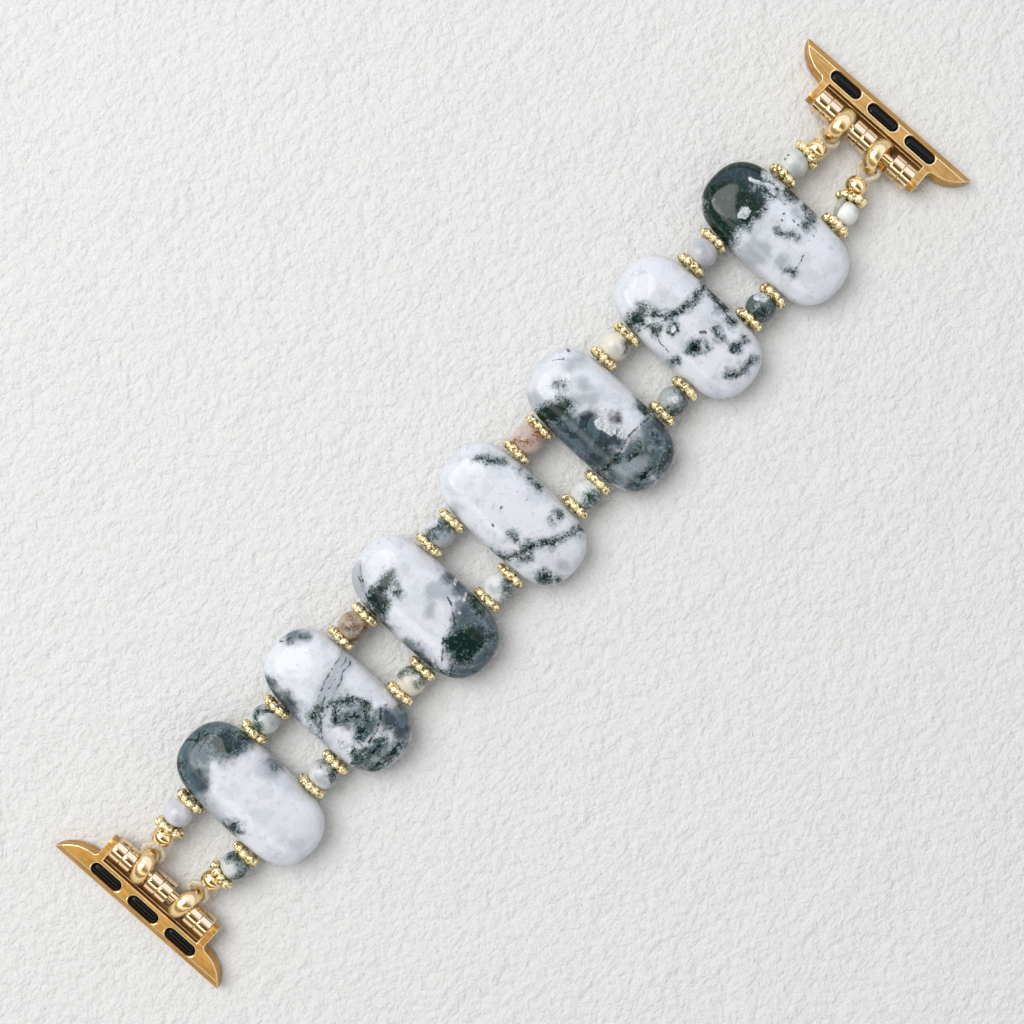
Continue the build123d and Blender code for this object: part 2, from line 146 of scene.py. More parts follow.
# Pattern of each bar about its middle, seen from above: for each kind of mark its half width and the
# points of its line, in millimetres
bar_marks = {
    1: {
        "slate": ((2.51, (-4.7, 7.8), (-3.8, 10.7), (0, 11.9), (4.1, 10.4)), (2.51, (-3.8, 8.2)),
            (3.14, (2.8, 9.1)), (1.88, (5, 6.9)), (1.57, (-0.3, 9.4)), (0.94, (-5.7, 5.3)),
            (0.47, (6, 0.8))),
        "moss": ((2.04, (3.1, 8.5)), (1.26, (4.7, 6.9)), (0.79, (-5.3, 9.4), (-4.1, 11.3)),
            (0.94, (2, 11.3)), (0.79, (-6.3, -1.1), (-5, -1.9)), (0.31, (6, 0))),
        "haze": ((1.41, (-6, 4.4), (-6, -0.8)), (1.26, (5.2, 0.9), (5.2, -0.6)), (1.41, (-5.3, 3.1))),
        "white": ((0.31, (-3.8, -2.4)),),
        "ink": ((0.14, (-0.9, 13.3), (0.3, 11.9), (2, 11.1), (-0.2, 10.4)),
            (0.14, (-1.9, 9.4), (-2.8, 7.5)), (0.13, (-6.8, 2.2), (-6.9, 1.4), (-6.4, 0.9))),
    },
    2: {
        "slate": ((1.41, (-6.3, 9.7), (-6, 4.7)), (0.79, (-6.6, 3.1)), (0.63, (2.2, 11.9), (3.8, 10.7)),
            (1.26, (-0.9, -3.1), (0.9, -3.8)), (1.1, (-0.6, -6), (1.3, -6)),
            (1.57, (3.5, -7.5), (4.7, -9.1)), (1.41, (3.8, -10.7)), (1.26, (-4.1, -9.4), (-0.6, -10))),
        "moss": ((0.38, (-2.5, 1.7), (-4.4, 0.6)),
            (0.53, (-2.4, -2.2), (-0.6, -0.3), (1.7, -1.1), (2.8, -3.5), (1.1, -5.2)),
            (0.63, (-0.6, -3.1), (0.6, -3.8)), (0.63, (-0.3, -5.7), (-1.9, -6.9)),
            (0.63, (-4.4, -8.8), (-1.6, -9.4), (0.9, -9.1)),
            (0.63, (-4.2, -11), (-1.6, -11.9), (1.9, -11.9)), (0.47, (-3.8, -7.2))),
        "haze": ((0.94, (5.7, 4.1), (0.5, 2.7), (-3, 1.3), (-6.6, -0.9)),
            (0.79, (5.3, 2.8), (0.5, 1.3), (-4.1, -0.3), (-6.6, -3.5)), (1.73, (0, -4.1)),
            (1.41, (-1.6, -10.4))),
        "white": ((0.63, (-4.4, -4.7), (-4.2, -6)),),
        "ink": ((0.14, (0.6, 12.9), (2.2, 11.9)),
            (0.11, (6.3, 4.7), (2.8, 3.9), (0.5, 3.3), (-3.1, 1.7), (-6.6, -0.3)),
            (0.08, (6, 3.5), (0.8, 2.2), (-2.8, 0.8), (-6.4, -1.6)),
            (0.09, (6, 2.7), (0.5, 1.1), (-3.8, -0.3), (-6.6, -3.1)),
            (0.08, (-0.6, 1.9), (-3.5, 0), (-6.6, -2.2)),
            (0.14, (-6.6, -8), (-1.7, -8.3), (1.1, -7.4), (3.9, -6), (5.5, -5.7)),
            (0.13, (1.6, -8.2), (4.1, -9.4)), (0.13, (-2.5, -1.9), (-0.6, 0), (1.9, -0.9), (3.1, -3.5))),
    },
    3: {
        "slate": ((0.71, (-6.4, 5.3), (-6.6, 1.6)), (0.79, (-6.3, -1.9), (-6, -5)), (0.79, (5.8, 0.3)),
            (1.26, (5.8, -1.9)), (1.41, (5.7, -4.4)), (2.2, (4.4, -5.7), (1.9, -7.2)), (2.83, (-0.3, -8.8)),
            (3.14, (1.6, -10)), (2.51, (4.1, -9.1)), (2.04, (-3.1, -11), (0, -12.2)), (2.2, (4.1, -11.3))),
        "moss": ((1.1, (-4.1, 6.9), (-2.2, 6.8), (-0.3, 7.2)), (1.41, (-5.3, 5.3)), (1.26, (-3.5, 5.8)),
            (0.47, (-0.2, 8)), (0.41, (-0.6, 6.3)), (0.41, (-1.3, 4.6)), (2.2, (-0.6, -7.8), (1.9, -8.8)),
            (1.57, (-1.9, -9.4)), (1.26, (3.5, -10.4)), (0.41, (-5.8, -6), (-6.1, -8.6), (-4.7, -11)),
            (0.79, (5.3, -6.3), (6, -4.4))),
        "haze": ((1.73, (-5, 9.1), (-3.5, 11.3)), (1.1, (-5.7, 6.3)), (1.1, (0.3, -0.8)),
            (1.26, (2.8, 0.9), (3.8, -0.6))),
        "white": ((0.16, (3.8, -2.7), (6, -0.6)), (0.16, (3.1, -4.7), (5.7, -3.1))),
        "ink": ((0.16, (1.3, -5.3), (2.7, -3.5), (3.8, -1.4)),
            (0.14, (-4.7, -8), (-1.7, -5.3), (1.3, -4.6)), (0.11, (-2.2, 11.9), (-3.8, 9.7), (-5.3, 6.9)),
            (0.09, (-3.1, 11.6), (-4.7, 8.8)), (0.14, (-6.8, -10.7), (-3.9, -9.7))),
    },
    4: {
        "moss": ((0.25, (2.4, 10), (3.6, 8.2), (5, 6.4)), (0.22, (5.8, 3.9)),
            (0.25, (5.7, 1.6), (5.8, -0.3)), (0.35, (-6.8, -1.4), (-5.7, -3.8), (-3.8, -4.9)),
            (0.41, (-2.7, -1.7), (-2.7, -3)),
            (0.47, (-3.5, -4.7), (-1.6, -5.3), (0.8, -7.5), (3, -8.3), (5.3, -9.4)), (0.79, (-1.9, -5.3)),
            (0.31, (3.5, -4.9)), (0.38, (4.9, -5.3)), (0.28, (-4.1, -5.7), (-3.1, -6.6)),
            (1.26, (-4.1, -10.4)), (0.63, (-2.8, -11.9))),
        "haze": ((0.94, (-2.8, -2)), (1.1, (-3.9, -6)), (0.79, (-0.9, -11)), (0.94, (-5.8, 7.1))),
        "ink": ((0.13, (2.4, 10), (3.1, 8.8), (4.1, 7.5), (5.2, 6.3)), (0.31, (-0.8, 2)),
            (0.25, (-3.5, 0.9)), (0.17, (3, 2)), (0.19, (3, -0.2)),
            (0.13, (-6.8, -1.3), (-5.7, -3.8), (-3.8, -4.9), (-2.7, -2.8), (-3, -1.7)),
            (0.16, (-1.9, -5.7), (0.8, -7.8), (3, -8.5), (5.3, -9.6)), (0.31, (-1.7, -5.5)),
            (0.25, (3.6, -4.9))),
    },
    5: {
        "slate": ((2.2, (-4.7, 4.4)), (2.83, (-4.7, 1.3)), (3.14, (-3.8, -1.6)), (2.67, (-4.4, -4.1)),
            (1.88, (-1.9, 0.9)), (1.57, (-1.3, -3.5)), (0.79, (1.6, -1.6)), (2.2, (-4.1, -7.2)),
            (2.35, (0, -7.8)), (2.51, (4.1, -7.7)), (2.2, (-3.1, -10.7)), (2.51, (1.3, -11)),
            (1.73, (4.7, -10)), (1.1, (6, -3.1))),
        "moss": ((2.04, (-4.4, 6)), (1.57, (-2.7, 5.7)), (1.26, (-5.7, 7.2)), (0.31, (-0.9, 8.5)),
            (0.25, (-0.3, 7.5)), (0.79, (6, -3.8)), (0.41, (-3.3, -11), (0, -10.5)),
            (0.79, (0.8, -11.9), (3.5, -11)), (0.28, (-1.6, -7.5), (1.3, -7.1)),
            (0.44, (4.1, -6.9), (3.1, -9.1)), (0.63, (-6, -5.7), (-2.8, -6))),
        "haze": ((0.94, (2.5, 9.4), (4.4, 8.9)), (1.1, (-5.7, 10.7), (-4.4, 9.1)),
            (0.94, (0, 4.7), (1.3, 3.1)), (0.79, (1.9, 6.3), (2.2, 4.7)),
            (1.41, (-3.5, -7.8), (-0.9, -8.8)), (0.94, (1.6, -6.3))),
        "white": ((0.63, (-0.6, -0.3), (-0.2, -2.2)), (0.47, (1.3, 0.5)), (0.47, (0.3, -3.8))),
        "ink": ((0.16, (-6.4, -5.5), (-3.1, -6), (0, -4.9), (5.7, -5.2)), (0.22, (-1.9, -7.8), (0, -7.4)),
            (0.22, (-3.1, -11.1), (-0.3, -10.8)), (0.13, (1.6, 11.6), (2.8, 10.7)),
            (0.13, (4.1, 11), (4.7, 11.6))),
    },
    6: {
        "moss": ((1.26, (-4.9, 6.6)), (0.94, (-3.1, 6.9)), (0.71, (-2.2, 5.3)),
            (0.41, (-2, 4.7), (-0.9, 3.3), (1.1, 2.4), (2.5, 1.9), (4.9, 2.4), (6.4, 2.2)),
            (0.57, (-4.1, 3.3)), (0.47, (-2.4, 1.6)), (0.94, (-2, -3)), (0.38, (-0.8, -4.4)),
            (0.25, (1.9, -5.2), (2.4, -3.1)), (0.57, (6.4, 0.9), (6.3, -0.6)), (0.79, (5.7, -2.2)),
            (0.63, (4.9, -4.4)), (0.63, (2.4, -7.5)), (0.38, (4.2, -7.5)),
            (0.41, (-1.3, -9.7), (0.6, -10.7), (2.8, -11)), (0.38, (-6, -1.9)), (0.25, (-5.2, -2.4))),
        "haze": ((1.1, (-1.9, 2.2)), (1.26, (-1.9, -2.8)), (0.94, (5.3, -1.6)), (1.1, (2.5, -7.7)),
            (0.94, (0.9, -10.7))),
        "white": ((0.31, (-2.2, 1.6)),),
        "ink": ((0.16, (-2.8, 5.3), (-1.9, 3.8), (0.3, 2.5), (2.2, 1.7), (4.4, 2.4), (6.6, 2.5)),
            (0.14, (-6, 5.3), (-4.4, 4.7), (-2.5, 3.5), (-0.6, 2.8)),
            (0.14, (-3.3, 1.6), (-2.8, 2.4), (-1.9, 2.4), (-1.4, 1.6), (-1.9, 0.8), (-2.8, 0.8),
             (-3.3, 1.6)),
            (0.13, (-4.9, 3.5), (-4.1, 4.2), (-3.3, 3.5), (-4.1, 2.7), (-4.9, 3.5)),
            (0.08, (-3.8, 5.7), (-5.3, -0.3)), (0.22, (-2, -2.8), (-1.7, -3.8)),
            (0.25, (0.3, -1.7), (0.6, -2.4)), (0.13, (1.7, -5.7), (2, -4.1), (2.5, -3.1)),
            (0.19, (6, 0), (5.5, -2.2), (4.9, -4.7)),
            (0.14, (1.3, -7.5), (2.2, -7.1), (3.1, -7.4), (2.5, -8.2), (1.4, -7.8)),
            (0.13, (-1.3, -9.7), (0, -10.4), (1.3, -10.8), (2.5, -10.8)),
            (0.11, (-0.9, -10.7), (0.6, -10.4), (1.9, -10)), (0.17, (-4.1, -12.1))),
    },
    7: {
        "moss": ((3.45, (-3.9, 7.8)), (3.45, (0, 9.4)), (3.14, (3.5, 9.7)),
            (2.83, (-1.6, 12.6), (2.4, 12.9)), (1.73, (-6, 5.2)), (1.73, (-1.9, 5.3), (1.3, 5.5)),
            (1.88, (4.4, 5.7)), (1.26, (5.7, 2.5)), (0.63, (6.4, -0.6)),
            (0.19, (0, 0), (0.8, -2.2), (1.3, -3)), (0.38, (3.5, -3), (5, -2.2), (6.4, -1.3)),
            (0.13, (-3.5, -5), (-3.5, -6.8))),
        "haze": ((2.04, (-4.4, 0.3)), (1.1, (-3.1, -3.5)), (0.94, (4.4, -0.3))),
        "white": ((0.47, (3, 8.2), (3.9, 6.6), (4.2, 4.7)), (0.63, (5.3, 7.2), (5.8, 4.1)),
            (0.79, (-1.6, 5.7))),
        "ink": ((0.25, (2.5, 1.1)), (0.22, (1.7, 0.6)), (0.24, (2.8, -0.8)), (0.22, (2.8, -1.7)),
            (0.16, (2.2, -4.7)), (0.14, (3.3, -4.6)), (0.16, (-3.5, -6.3), (-1.6, -6), (0, -5.3)),
            (0.19, (-6, -10.2)), (0.14, (-5.8, -9.4))),
    },
}
# Pattern of each round bead about its middle, in the same way
bead_marks = {
    "1a": {
        "moss": ((0.79, (-1.4, 0)), (0.38, (-0.3, 1.4), (0.6, 1.7)), (0.35, (1.1, 1.1))),
        "haze": ((0.79, (0.8, -0.8)),),
        "ink": ((0.16, (0.3, 1.6), (1.4, 0.9), (1.7, -0.3)),),
    },
    "1b": {
        "slate": ((0.47, (1.4, 1.4)),),
        "moss": ((0.63, (0.6, -1.7), (1.9, -0.8)),),
        "haze": ((0.63, (-0.8, 0)),),
        "ink": ((0.25, (0.8, 1.1)),),
    },
    "2a": {
        "moss": ((0.25, (-0.8, 0.6), (0.5, -0.5)), (0.22, (0.8, 1.1)),
            (0.38, (-1.4, -1.6), (0, -2), (1.4, -1.6))),
        "haze": ((0.63, (-0.9, -0.5)),),
    },
    "2b": {
        "moss": ((0.38, (0, 1.9), (1.3, 1.4), (1.9, 0.2)), (0.22, (0.5, -1.1), (1.4, -1.3), (1.9, -0.6))),
        "white": ((0.47, (1.1, -0.3)),),
    },
    "3a": {
        "moss": ((0.53, (-1.9, 0.6), (0, 0.9), (1.9, 0.5)), (0.31, (0.9, -0.9), (1.6, -0.3))),
        "haze": ((0.79, (-0.5, -0.8)),),
        "white": ((0.55, (-0.3, 1.9), (0.8, 1.9)),),
    },
    "3b": {
        "slate": ((0.31, (0.5, -1.6)),),
        "moss": ((0.53, (2, -0.3), (0.9, -1.4), (-0.3, -2.2)),),
        "haze": ((0.63, (-0.6, 0.6)),),
    },
    "4a": {
        "moss": ((0.22, (-1.6, 0.9), (-0.5, -0.3), (0.8, -0.8), (1.7, -0.3)),),
        "haze": ((0.63, (0, 0.8)),),
    },
    "4b": {
        "moss": ((0.57, (-1.1, -1.7), (0, -0.6), (1.1, -1.7)), (0.79, (0.2, -1.9))),
        "haze": ((0.47, (-0.6, 0.5)),),
    },
    "5a": {"moss": ((0.22, (1.7, -1.1), (0.8, -2)),), "haze": ((0.63, (-0.6, -0.6)),)},
    "5b": {
        "moss": ((0.72, (-1.7, -0.9), (-0.6, -1.7), (0.6, -1.7), (1.7, -0.9)), (0.31, (1.4, 0.8))),
        "white": ((0.55, (0, 0)),),
    },
    "6a": {"haze": ((0.94, (0.5, 0.5)), (0.63, (-0.9, -0.8)))},
    "6b": {
        "slate": ((0.63, (0.9, -1.1)),),
        "moss": ((1.26, (-0.8, -0.6)),),
        "white": ((0.69, (0.6, 1.6), (1.6, 0.5)),),
    },
    "upper_a": {
        "haze": ((0.63, (-0.8, -0.9)), (0.47, (1.1, -0.3))),
        "ink": ((0.2, (-0.6, 1.3)), (0.2, (0.2, 1.4))),
    },
    "upper_b": {"haze": ((0.24, (0.8, -0.8)),)},
    "lower_a": {
        "slate": ((0.47, (1.1, -0.6)),),
        "moss": ((0.53, (0.6, 1.3), (1.6, 0.5)), (0.38, (-1.6, -1.4), (0, -2), (1.4, -1.4))),
    },
    "lower_b": {
        "haze": ((0.47, (-0.5, -0.6)), (0.31, (0.8, 0.6))),
        "ink": ((0.11, (0, -0.3)), (0.09, (0.6, 0.5))),
    },
}
# Ground and pattern colour of each round bead
bead_colours = {
    "1a": (0xD5D8D6, 0x2C4440), "1b": (0xDCDDDD, 0x33403E), "2a": (0xB9A58F, 0x5A3F2A),
    "2b": (0xE2DACB, 0x31403B), "3a": (0xB4BABD, 0x2C3D3F), "3b": (0xE6E7E8, 0x3B4B49),
    "4a": (0xD3BFB0, 0x7A5134), "4b": (0xE6E7E6, 0x24423A), "5a": (0xE4DFD3, 0x4A463C),
    "5b": (0xADB3B3, 0x2E3F3C), "6a": (0xCBC9D0, 0x6B6F78), "6b": (0x56645F, 0x24322F),
    "upper_a": (0xD8DAD6, 0x2D3B35), "upper_b": (0xFAFAF8, 0xD9DCDC),
    "lower_a": (0xD9DAD6, 0x2F403B), "lower_b": (0xD9D8E0, 0x60656E),
}


class StoneSettings(bpy.types.PropertyGroup):
    """Sizes and colours of the stone bars and beads."""
    bar_width: length("Bar width", "Width of a bar along the band", 13.2)
    bar_length: length("Bar length", "Length of a bar across the band", 26.4)
    bar_thickness: length("Bar thickness", "Thickness of a bar at its middle", 7.2)
    side_bulge: length("Side bulge", "How far the long sides bow outwards", 0.6)
    end_bulge: length("End bulge", "How far the short ends bow outwards", 1.75)
    squareness: power("Squareness", "Power of a bar's corners seen from above", 4.1)
    crown: length("Crown", "How far a bar falls towards its two ends", 0.9)
    fullness: power("Fullness", "Power of a bar's rounded section", 2.5)
    grid_cuts: IntProperty(name="Grid cuts", description="Cuts over each side of a bar", default=74, min=4)
    strand_side: length("Strand offset", "Distance from the band's middle line to each strand", 6.25)
    bore_radius: length("Bore radius", "Radius of the holes for the cord", 0.5)
    bead_rim: length("Bead rim", "Rounding of a bead's hole", 0.12)
    ground: colour("Ground", "Pale stone", 0xDFE2E9)
    cloud: colour("Cloud", "Faint lilac clouds in the pale stone", 0xC3C7D0)
    haze: colour("Haze", "Soft grey patches", 0x97A1A8)
    slate: colour("Slate", "Blue-grey patches", 0x485D66)
    slate_deep: colour("Deep slate", "Darker mottle of the blue-grey patches", 0x1B2B32)
    moss: colour("Moss", "Dark green moss", 0x0F2826)
    moss_pale: colour("Pale moss", "Lighter mottle of the moss", 0x40605B)
    white: colour("White", "White islands", 0xE8EAEF)
    grey: colour("Grey", "Grey mottle of the white islands", 0x9DABB0)
    ink: colour("Ink", "Near-black dots and outlines", 0x0A1211)


class MetalSettings(bpy.types.PropertyGroup):
    """Sizes and colours of the metal pieces."""
    granule_radius: length("Granule radius", "Radius of one ball of a granulated spacer", 0.76)
    granule_ring: length("Granule ring", "Radius on which the balls of a spacer sit", 1.84)
    granule_count: IntProperty(name="Granules", description="Balls in a granulated spacer", default=9, min=3)
    granule_turn: angle("Granule turn", "Turn of the spacers from bar to bar", 17)
    granule_grain: length("Grain depth", "Depth of the cast grain on a spacer", 0.05)
    voxel: length("Casting detail", "Size of the smallest detail of a spacer", 0.115)
    gold_radius: length("Gold bead radius", "Radius of a gold bead", 1.75)
    gold_bore: length("Gold bead bore", "Bore radius of a gold bead", 0.91)
    gold_mouth: length("Gold bead mouth", "Radius of a gold bead's flared side", 1.3)
    gold_flare: length("Gold bead flare", "Depth of a gold bead's flare", 0.9)
    ring_crown: length("Ring crown", "Outer radius of a ring at its crown", 3.2)
    ring_rim: length("Ring rim", "Outer radius of a ring at its rims", 2.6)
    ring_bore: length("Ring bore", "Inner radius of a ring", 2.25)
    ring_width: length("Ring width", "Width of a ring along the pin", 2.5)
    sleeve_radius: length("Sleeve radius", "Outer radius of a sleeve", 1.95)
    sleeve_length: length("Sleeve length", "Length of one sleeve", 2.05)
    pin_radius: length("Pin radius", "Radius of a pin", 0.9)
    rim_softness: length("Rim softness", "Rounding of the rims of rings and sleeves", 0.16)
    pad_length: length("Pad length", "Length of a pad along its connector", 5.65)
    pad_width: length("Pad width", "Width of a pad", 1.8)
    pad_height: length("Pad height", "Height of a pad in its pocket", 0.84)
    edge_softness: length("Edge softness", "Rounding of the connectors' edges", 0.13)
    antique: colour("Antique gold", "Granulated spacers", 0xFFEBAE)
    # Near-white painted highlight at the middle of each grain of the spacers
    bright: colour("Bright gold", "Polished tops of the granules", 0xFFF6DC)
    # Dark oxide in the pits of the spacers, also used as painted shade between their balls and inside their ring
    oxide_and_shade_tone: colour("Patina", "Dark in the pits of the spacers", 0x5E4718)
    polished: colour("Polished gold", "Gold beads, rings and pins", 0xEBCE98)
    rose: colour("Rose gold", "Mirror sleeves", 0xECCFA6)
    # Painted highlight on the connectors' rounded edges
    edge: colour("Edge gold", "Rubbed edges of the connectors", 0xF6DFA8)
    satin: colour("Satin gold", "Connectors", 0xC3944F)


class TrimSettings(bpy.types.PropertyGroup):
    """Size and colours of the cord, and colour of the pads."""
    cord_radius: length("Cord radius", "Radius of the clear cord", 0.36)
    tinted: colour("Tinted cord", "Cord's second leg beside the white bead", 0xD0D5C8)
    cord: colour("Cord", "Clear cord", 0xF3E8D0)
    rubber: colour("Rubber", "Pads", 0x030303)


class StageSettings(bpy.types.PropertyGroup):
    """Camera, light and table."""
    camera_height: length("Camera height", "Height of the camera over the table", 319.2)
    camera_turn: angle("Camera turn", "Turn of the picture over the band", -46.86)
    lens: FloatProperty(name="Lens", description="Focal length of the camera", default=70.9, unit="CAMERA")
    sight: spot("Sight", "Point of the table under the camera", 0.06, 0.27)
    window_power: FloatProperty(name="Window power", description="Power of the window light", default=7.8,
                                unit="POWER")
    window_size: length("Window size", "Width of the round window light", 850)
    window_place: spot("Window place", "Middle of the window light", -120, 520, 860)
    room: FloatProperty(name="Room light", description="Strength of the light from all around", default=0.5,
                        min=0, subtype="FACTOR")
    near_limit: length("Near limit", "Nearest distance that the camera sees", 10)
    table_reach: length("Table reach", "Distance from the table's middle to its sides", 900)
    table: colour("Table", "Colour of the table", 0xEDEDEC)


class Value:
    """A socket of a material; plain maths on it adds the nodes."""

    def __init__(self, paint, socket):
        self.paint, self.socket = paint, socket

    def maths(self, operation, *values):
        """One Math node on some values."""
        return self.paint.node("ShaderNodeMath", {"operation": operation}, dict(enumerate(values)))

    def __add__(self, other):
        return self.maths("ADD", self, other)

    def __sub__(self, other):
        return self.maths("SUBTRACT", self, other)

    def __rsub__(self, other):
        return self.maths("SUBTRACT", other, self)

    def __mul__(self, other):
        return self.maths("MULTIPLY", self, other)

    def size(self):
        """How far the value lies from zero."""
        return self.maths("ABSOLUTE", self)

    def step(self, low, high, start=0.0, end=1.0):
        """Goes smoothly from start to end as the value goes from low to high."""
        kind = {"interpolation_type": "SMOOTHSTEP"}
        return self.paint.node("ShaderNodeMapRange", kind, {0: self, 1: low, 2: high, 3: start, 4: end})

    __radd__ = __add__
    __rmul__ = __mul__


class Nodes:
    """A tree of nodes; every node comes from one method."""

    def __init__(self, tree):
        self.tree = tree

    def node(self, kind, choices=None, values=None, output=0):
        """Adds one node with its settings, then the values or links of its sockets."""
        made = self.tree.nodes.new(kind)
        for key, choice in (choices or {}).items():
            if key == "stops":
                self.lay_stops(made.color_ramp.elements, choice)
            else:
                setattr(made, key, choice)
        for key, value in (values or {}).items():
            if isinstance(value, Value):
                self.tree.links.new(value.socket, made.inputs[key])
            else:
                made.inputs[key].default_value = value
        return None if output is None else Value(self, made.outputs[output])

    def lay_stops(self, ramp, stops):
        """Puts colours at their places along a ramp that starts with its two ends."""
        for place, tone in stops:
            stop = ramp.new(place) if 0 < place < 1 else ramp[0 if place == 0 else len(ramp) - 1]
            stop.color = tone

    def layers(self, tone, *coats):
        """Lays coats, each a mask and a colour, over a colour."""
        for mask, coat_tone in coats:
            tones = [t if isinstance(t, Value) else (*t, 1.0) for t in (tone, coat_tone)]
            values = {0: mask, 6: tones[0], 7: tones[1]}
            tone = self.node("ShaderNodeMix", {"data_type": "RGBA"}, values, 2)
        return tone


class Paint(Nodes):
    """One material and its nodes."""

    def __init__(self, name):
        self.material = bpy.data.materials.new(name)
        self.material.use_nodes = True
        super().__init__(self.material.node_tree)
        self.shader = self.tree.nodes["Principled BSDF"]
        self.place = self.node("ShaderNodeTexCoord", output=3)

    def noise(self, scale, detail, roughness, place=None, output=0):
        """Noise over the piece, with so many waves to a metre."""
        values = {"Vector": place or self.place, "Scale": scale, "Detail": detail, "Roughness": roughness}
        return self.node("ShaderNodeTexNoise", {}, values, output)

    def cells(self, scale, place=None, output=0):
        """The distance to the middle of the nearest cell, or with output 1 one tone for each cell."""
        return self.node("ShaderNodeTexVoronoi", {}, {"Vector": place or self.place, "Scale": scale}, output)

    def plates(self, scale, sway):
        """An even tone for each patch of a broken pattern whose borders sway by some millimetres."""
        drift = self.noise(420, 4, 0.6, output=1)
        moved = self.node("ShaderNodeVectorMath", {"operation": "MULTIPLY_ADD"},
                          {0: drift, 1: (sway * MM,) * 3, 2: self.place})
        return self.cells(scale, moved, 1)

    def stretched(self, *scales):
        """Object coordinates stretched for a grain that runs one way."""
        return self.node("ShaderNodeMapping", {}, {"Vector": self.place, "Scale": scales})

    def field(self, name):
        """The numbers that a mesh stores under a name."""
        return self.node("ShaderNodeAttribute", {"attribute_name": name}, output=2)

    def relief(self, height, strength, depth):
        """A bump of the given depth in millimetres that feeds the normal."""
        values = {"Strength": strength, "Distance": depth * MM, "Height": height}
        self.surface(Normal=self.node("ShaderNodeBump", {}, values))

    def surface(self, **sockets):
        """Sets or links the shader's own sockets."""
        for key, value in sockets.items():
            socket = self.shader.inputs[key.replace("_", " ")]
            if isinstance(value, Value):
                self.tree.links.new(value.socket, socket)
            else:
                socket.default_value = value
        return self.material


def scaled(tone, factor):
    """A colour made darker or paler."""
    return tuple(min(1.0, part * factor) for part in tone)


def agate(name, ground, cloud, moss, moss_pale):
    """Polished agate: pale ground with clouds, haze, slate, moss, islands and ink."""
    stone = bpy.context.scene.band_stone
    deep, slate, ink, grey = stone.slate_deep, stone.slate, stone.ink, stone.haze
    paint = Paint(name)
    drift = paint.noise(190, 4, 0.6)
    wide = paint.noise(560, 5, 0.62)
    mottle = paint.noise(1500, 6, 0.7)
    fine = paint.noise(4600, 4, 0.65)
    plates = paint.plates(430, 2.2)

    # Distances from the marks' borders, broken up by noise
    ragged = (wide - 0.5) * 3.4 + (mottle - 0.5) * 2.2
    haze_line = paint.field("haze") + ragged * 0.7
    slate_line = paint.field("slate") + ragged * 0.8
    moss_field = paint.field("moss")
    moss_line = moss_field + ragged
    island_line = paint.field("white") + ragged * 0.5
    ink_line = paint.field("ink") + (mottle - 0.5) * 0.7 + (fine - 0.5) * 0.4 + wide.step(0.45, 0.6, 0, 0.1)

    # Threads and dots round the moss, and outlines of the islands that lie in slate
    threads = (paint.noise(1300, 5, 0.62) - 0.5).size().step(0.03, 0.006) * moss_field.step(0.8, 0.0)
    dots = (paint.noise(2900, 3, 0.6) - moss_field * 0.18 - (wide - 0.5) * 0.4).step(0.55, 0.6)
    outline = (island_line - 0.06).size().step(0.1, 0.02, 0, 0.6) * slate_line.step(0.3, -0.3)

    # Mottled colours of each kind
    veil = paint.layers(moss_pale, (mottle.step(0.42, 0.62), grey))
    mosses = paint.layers(moss, (mottle.step(0.5, 0.72), moss_pale), (fine.step(0.53, 0.62, 0, 0.7), ink))
    whites = paint.layers(stone.white, ((mottle + fine).step(0.9, 1.12), stone.grey))
    slates = paint.layers(
        deep,
        (plates.step(0.36, 0.6), slate),
        (wide.step(0.42, 0.66, 0, 0.6), slate),
        (mottle.step(0.56, 0.74, 0, 0.5), grey),
        (haze_line.step(0.9, -0.7, 0, 0.8), grey),
        (fine.step(0.56, 0.64, 0, 0.45), ink),
    )

    shown = paint.layers(
        ground,
        (drift.step(0.45, 0.75, 0, 0.7), cloud),
        (plates.step(0.5, 0.75, 0, 0.16), grey),
        ((wide + mottle).step(1.02, 1.3, 0, 0.35), grey),
        (fine.step(0.52, 0.7, 0, 0.16), grey),
        (haze_line.step(0.9, -0.9, 0, 0.72), grey),
        (slate_line.step(1.3, -0.4, 0, 0.75), slates),
        (slate_line.step(0.1, -0.9, 0, 0.9), slates),
        (slate_line.size().step(0.12, 0.0, 0, 0.4), deep),
        (moss_line.step(1.2, -0.4, 0, 0.75), veil),
        (threads, mosses),
        (moss_line.size().step(0.08, 0.0, 0, 0.75) * mottle.step(0.44, 0.52), moss),
        (dots * moss_field.step(1.3, 0.5), mosses),
        (moss_line.step(-0.2, -1.0, 0, 0.93), mosses),
        (island_line.step(0.15, -0.1, 0, 0.9), whites),
        (outline, ink),
        (ink_line.step(0.1, -0.08, 0, 0.85), ink),
    )
    paint.relief(mottle, 0.1, 0.015)
    return paint.surface(Base_Color=shown, Roughness=fine.step(0.2, 0.9, 0.06, 0.13), IOR=1.4)


